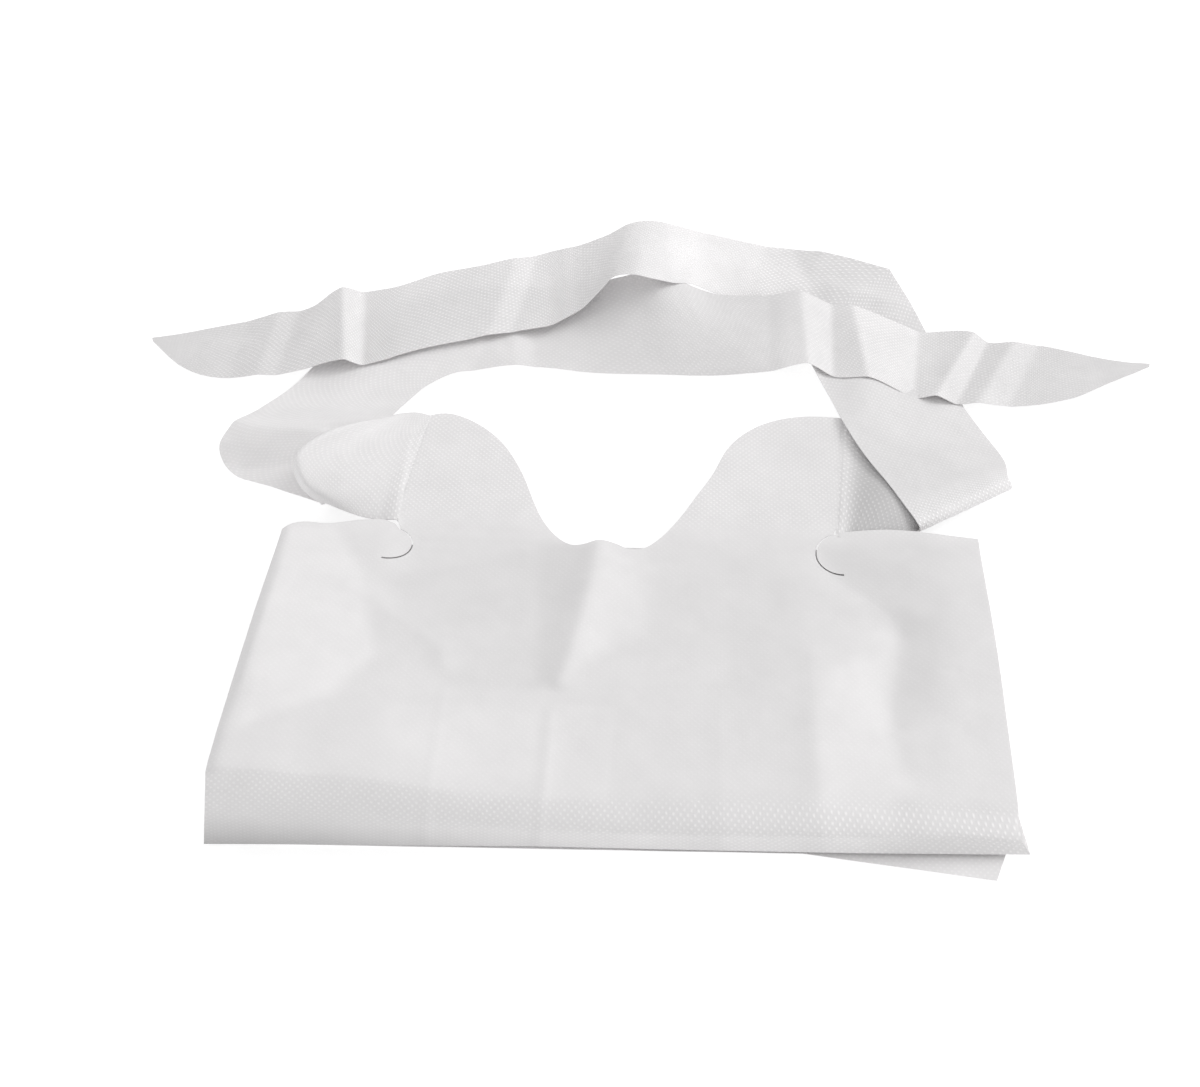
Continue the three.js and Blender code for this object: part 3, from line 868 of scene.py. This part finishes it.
LEFT_TURN = [
    [[-117.5, 78.6, 2.2], [-138, 86.6, 2], [-157.6, 94.4, 3], [-161.5, 99.6, 11], [-157.4, 108.4, 14.6],
     [-149, 123, 11], [-140, 144, 4.8], [-121, 178, 6.2], [-94, 200, 7], [-62, 206, 7.2]],
    [[-107, 97.5, 6.6], [-122, 101.5, 8.4], [-130, 106, 10], [-132, 111.5, 12], [-129, 119, 11.6],
     [-124, 128, 8.8], [-116, 143, 6.6], [-102, 162.5, 7], [-84, 177.5, 7.2], [-61, 182, 7.2]],
    [[-96, 116.6, 8.6], [-97, 117.8, 8.2], [-98, 119.3, 7.8], [-98.4, 121.5, 7.4], [-97.6, 124, 6.8],
     [-95.6, 128.5, 6.2], [-91.5, 136, 5.6], [-85, 146, 5], [-74, 154.5, 4.4], [-60, 158.4, 4]],
]
LEFT_RUN = [
    [[-62, 206, 7.2], [-45, 207, 7.2], [-33, 206.6, 8.2], [-24, 206.5, 10.2], [-8, 206.4, 16],
     [5, 206.4, 19.4], [14.6, 206.8, 16], [23.5, 207.4, 10.8], [34, 205, 9], [50, 204.4, 9.4],
     [70, 204, 10.5], [80, 200.4, 10.5], [97, 194.2, 10.3], [112, 188.6, 9.6]],
    [[-60, 158.4, 4], [-41, 160.4, 3.8], [-19, 158.2, 3.4], [10, 158, 3.6], [32, 156.8, 5], [55, 157, 8],
     [70, 159, 9.2], [83, 154, 8.8], [97, 152.2, 8.6], [108, 147.4, 8.4]],
]
LEFT_END = [
    [[112, 188.6, 9.6], [119.4, 185.8, 9], [128, 187, 7], [138, 188, 5.2], [150, 184.6, 3.6],
     [164, 185, 2.6]],
    [[108, 147.4, 8.4], [113.2, 144.8, 8.2], [124, 144, 6.6], [134, 143.6, 5], [150, 146, 2.6],
     [160, 147.4, 2]],
]
LEFT_TIP = [
    [[164, 185, 2.6], [172.4, 185, 2.2], [182, 182, 2], [193, 178.8, 1.7], [204.6, 176.6, 1.5],
     [215, 176, 1.4]],
    [[160, 147.4, 2], [167.6, 149, 1.8], [181, 153.6, 1.6], [194, 162, 1.4], [205, 168.4, 1.5],
     [214.6, 174.2, 1.4]],
]
LEFT_CREASES = [
    ([(-158, 96.6), (-118, 98.6)], -1.8, 7, 8, EVEN),
    ([(-161, 108), (-118, 110)], 1.3, 8, 7, EVEN),
]
LEFT_FRONT_PLEATS = [
    (-76, -76, 0), (-66.8, -61, -0.8), (-49.5, -53, 1.0), (-42, -44, -0.5), (-28, -30, 0),
]
LEFT_PLEATS = [
    (56, 56, 0), (71, 69.5, 2.2), (80.6, 82, -1.0), (95.6, 91.5, 1.8), (113.2, 118.6, -2.2),
    (121.3, 141.7, 2.2), (130.2, 148.8, -0.9), (138.4, 159.2, 1.5), (152, 170, -0.4), (170, 186, 0),
]
LEFT_SAG = [((-68, 168), (26, 15), 1.4)]
# Facets between the pleats that catch more light.
LEFT_PANES = [
    ([(69, 208), (82.6, 208), (80.4, 135), (71.3, 135)], 2, 0.045),
    ([(90, 206), (121, 206), (112.2, 135), (96.3, 135)], 2.4, 0.075),
    ([(147, 200), (153.5, 200), (128.5, 135), (117.5, 135)], 2.4, 0.05),
    ([(166, 200), (176, 200), (148, 135), (134, 135)], 4, 0.03),
]
LEFT_ROUNDING = ((1, 1.6), (2, 5.0), (3, 12.0), (4, 6.0), (5, 6.0))  # joint between nets, and reach


def make_left_tie():
    nets = [LEFT_ROOT, LEFT_CURL, LEFT_TURN, LEFT_RUN, LEFT_END, LEFT_TIP]
    points, along, joints = join_patches(nets, ACROSS)
    for joint, reach in LEFT_ROUNDING:
        points = soften(points, along, along[joints[joint]], reach)
    points = settle(points, along)
    x, y = points[..., 0], points[..., 1]
    curl, turn, run = (along[joints[k]] for k in (1, 2, 3))
    turned = after(along, turn, 12)
    crossing = after(along, run - 20, 10)
    lift = creases(x, y, LEFT_CREASES) * turned
    lift += (pleats(x, y, 160, 182, LEFT_FRONT_PLEATS) + pleats(x, y, 143, 186, LEFT_PLEATS)) * crossing
    lift += dents(x, y, LEFT_SAG) * turned
    points = raise_by(points, lift)
    points = crinkled(points, TIE_CRINKLE, LEFT_SEED)
    # Depth of the dots along the tie; deeper dots also get more painted glint.
    emboss = np.interp(along, [0, 8, 30, turn, turn + 20, turn + 110], [1.0, 0.5, 0.4, 0.4, 0.3, 0.4])
    emboss = np.broadcast_to(emboss, x.shape) + 0.6 * ramp_between(x, 70, 96)
    # Painted light around the curl and the turn, painted shade on the end and tip and where the other tie
    # lies over this one, and painted light on the facets between the pleats.
    painted_shading = 1 + 0.035 * near(along, curl - 6, 20) + 0.04 * near(along, turn + 16, 30)
    painted_shading = painted_shading - 0.1 * ramp_between(x, 118, 130)
    painted_shading = painted_shading - 0.07 * ramp_between(x, -60, 0) * ramp_between(-x, -66, -56)
    painted_shading = painted_shading + panes(x, y, LEFT_PANES) * turned
    pieces = tie_pieces("left", points, along, [0] + joints[4:], (emboss, painted_shading), [
        dict(flat=(0.0508, 0.397), rests_on=["bib_film", "floor", "tie_right_film"]),
        dict(flat=(0.0508, 0.053), rests_on=["floor"]),
        dict(flat=(0.0508, 0.054), area=0.0014, rests_on=["floor"]),
    ])
    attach(pieces[0], "bib")
    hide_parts("tie_left_root", "tie_left_turn", "tie_left_run")
    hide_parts("tie_left_end")
    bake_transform(pieces[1])
    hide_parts("tie_left_tip")
    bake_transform(pieces[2])


# The right tie: down beside the lobe, rolled back over its own edge, away along the table, around an angled
# corner cut in the film, then left over the other tie.
RIGHT_ROOT = [
    [[76.8, 62.6, 8.8], [88, 61.6, 7.8], [101, 65, 5.6], [107.6, 73.2, 3.6]],
    [[79, 90, 9.8], [97, 84, 11], [111, 80, 7.2], [120.6, 81.3, 3.6]],
    [[80.6, 110, 10], [103, 98.5, 10.8], [122.6, 90.8, 7.4], [133, 89.4, 3.6]],
    [[82, 127, 10], [105.6, 115.6, 8.8], [130.4, 102.8, 6.4], [145, 97.4, 3.6]],
]
# The roll: x and y of its two ends, its section as (distance out, z), and the direction that is out.
ROLL_ENDS = [(107.6, 73.2), (145, 97.4)]
ROLL_PROFILE = [(0, 3.6), (2.2, 4.4), (3, 6.2), (2.2, 8), (0, 8.9)]
ROLL_OUT = (0.54, -0.84)
RIGHT_RUN = [
    [[107.6, 73.2, 8.9], [98.6, 87.6, 12.4], [89.6, 104.6, 12.8], [82.6, 124, 11.8], [77.8, 144.8, 7.8],
     [71, 165, 6.6], [66.8, 182.6, 5.2]],
    [[145, 97.4, 8.9], [144.8, 106, 9], [139.6, 123.6, 6.4], [133.6, 142.6, 4], [129, 159, 4.4],
     [122.4, 188, 4.8], [116.4, 212, 4.2], [110, 231.4, 4.6]],
]
RIGHT_RETURN = [
    [[66.8, 182.6, 5.2], [60, 188, 5.2], [53, 193, 5.2], [46, 199.6, 5.4], [39, 207, 6.2], [30, 209.2, 8.4],
     [22.6, 209, 11.6], [14, 201, 18], [6, 195.4, 24], [-3, 193.4, 27.6], [-11, 194.8, 25], [-16, 194, 19],
     [-24, 188, 13], [-31, 184, 10.6]],
    [[110, 231.4, 4.6], [90, 236, 6.8], [70, 238, 9], [56, 239, 11], [48, 239, 12.6], [40, 238.8, 14.4],
     [32, 238.4, 16.4], [25, 237.8, 18.2], [16, 237, 21], [8, 235.6, 24], [0, 233.8, 25.4],
     [-6, 232.4, 24.6], [-15, 233, 18], [-28, 232.2, 12.4], [-35, 231.8, 10.8]],
]
RIGHT_END = [
    [[-31, 184, 10.6], [-36.6, 180.8, 9.5], [-50, 177.8, 9], [-71, 169.7, 9], [-89, 163.8, 9],
     [-104, 157, 9], [-111, 154.6, 9]],
    [[-35, 231.8, 10.8], [-42, 230.8, 9.5], [-57, 225, 9], [-72, 219, 9], [-88, 214, 9], [-104, 205, 9],
     [-115, 202.6, 8.8]],
]
RIGHT_TIP = [
    [[-111, 154.6, 9], [-116.4, 153.2, 8.9], [-126, 153.2, 7.6], [-137, 151, 6.4], [-154, 150.4, 3.6],
     [-168, 150, 2.4], [-180, 151.6, 1.8], [-191, 157.4, 1.6], [-206, 172.4, 1.5]],
    [[-115, 202.6, 8.8], [-120.8, 202, 8.6], [-127, 202.4, 7.2], [-133, 200, 6], [-139.6, 194, 5],
     [-152, 191, 3.8], [-174, 184.4, 2.3], [-191, 179, 1.7], [-207, 174.6, 1.5]],
]
CORNER_JOINT = 3  # where the run meets the return, at the corner cut in the film
CORNER_CREASE = [(78, 217), (100, 212), (119, 205)]
RETURN_PLEATS = [(12, 12, 0), (43, 56, -1.6), (65, 81, 1.1), (100, 114, 0)]
RIGHT_PLEATS = [
    (-180, -178, 0), (-169, -167, -0.5), (-157, -154, 1.1), (-149, -146, -0.5), (-120, -129, 3.0),
    (-113, -120, -1.5), (-98, -102, 0), (-66, -58, 0.9), (-57, -49, -0.7), (-40, -34, 0),
]
RIGHT_SAG = [((94, 152), (10, 18), 2.4), ((71, 158), (5, 14), 2.0)]
# Painted light on facets and layers that look lighter, and painted shade on one stretch that looks darker.
RIGHT_LIGHT_AND_SHADE = [
    ([(-129, 206), (-119, 206), (-112.4, 150), (-120.6, 150)], 2.4, 0.08),
    ([(-54, 230), (-45, 230), (-55, 165), (-64, 165)], 5, 0.04),
    ([(65, 242), (40, 242), (12, 242), (14, 196), (40, 200), (60, 186), (82, 186)], 7, 0.06),
    ([(66, 244), (112, 244), (124, 180), (84, 186)], 6, -0.05),
]
RIGHT_ROUNDING = ((1, 2.0), (2, 1.5), (3, 10.0), (4, 5.0), (5, 5.0))  # joint between nets, and reach


def make_right_tie():
    roll = [[[x + ROLL_OUT[0] * out, y + ROLL_OUT[1] * out, z] for out, z in ROLL_PROFILE]
            for x, y in ROLL_ENDS]
    nets = [RIGHT_ROOT, roll, RIGHT_RUN, RIGHT_RETURN, RIGHT_END, RIGHT_TIP]
    points, along, joints = join_patches(nets, ACROSS)
    for joint, reach in RIGHT_ROUNDING:
        points = soften(points, along, along[joints[joint]], reach, height_only=joint == CORNER_JOINT)
    points = settle(points, along)
    x, y = points[..., 0], points[..., 1]
    rolled, run, corner = (along[joints[k]] for k in (1, 2, CORNER_JOINT))
    returning = after(along, corner - 4, 8)
    lift = crease(x, y, CORNER_CREASE, 0.9, 8, 9)
    lift += dents(x, y, RIGHT_SAG) * (1 - returning)
    lift += (pleats(x, y, 200, 240, RETURN_PLEATS) + pleats(x, y, 152, 204, RIGHT_PLEATS)) * returning
    points = raise_by(points, lift)
    points = crinkled(points, TIE_CRINKLE, RIGHT_SEED)
    # Depth of the dots along the tie; deeper dots also get more painted glint.
    emboss = np.interp(along, [0, run, run + 12, corner - 45, corner - 15], [0.9, 1.0, 0.35, 0.4, 1.0])
    emboss = np.broadcast_to(emboss, x.shape)
    # Painted shade towards the end and the tip, a painted highlight along the roll, painted shadow on the
    # root under the run, painted shade on the run, and painted light and shade on the facets of the return.
    painted_shading = 1 - 0.04 * ramp_between(-x, 40, 60) - 0.04 * ramp_between(-x, 130, 150)
    painted_shading = painted_shading + 0.07 * near(along, rolled + 6, 9)
    painted_shading = painted_shading - 0.28 * after(along, 0, 10) * (1 - after(along, rolled - 12, 12))
    painted_shading = painted_shading - 0.05 * after(along, rolled + 14, 12) * ramp_between(x, 52, 66)
    painted_shading = painted_shading + panes(x, y, RIGHT_LIGHT_AND_SHADE) * returning
    pieces = tie_pieces("right", points, along, [0] + joints[4:], (emboss, painted_shading), [
        dict(flat=(0.0508, 0.323), rests_on=["bib_film", "floor", "tie_left_film"]),
        dict(flat=(0.0508, 0.086), rests_on=["tie_left_film"]),
        dict(flat=(0.0508, 0.096), area=0.0035, rests_on=["tie_left_film", "floor"]),
    ])
    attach(pieces[0], "bib")
    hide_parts("tie_right_root", "tie_right_roll", "tie_right_run", "tie_right_return")
    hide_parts("tie_right_end")
    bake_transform(pieces[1])
    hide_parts("tie_right_tip")
    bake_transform(pieces[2])


# ---------------------------------------------------------------- build

make_camera()
make_floor()
make_lights()

FILM_MATERIAL = film_material()
make_bib()
make_side_fold("left", SIDE_LEFT)
make_side_fold("right", SIDE_RIGHT)
make_skirt()
make_left_tie()
make_right_tie()
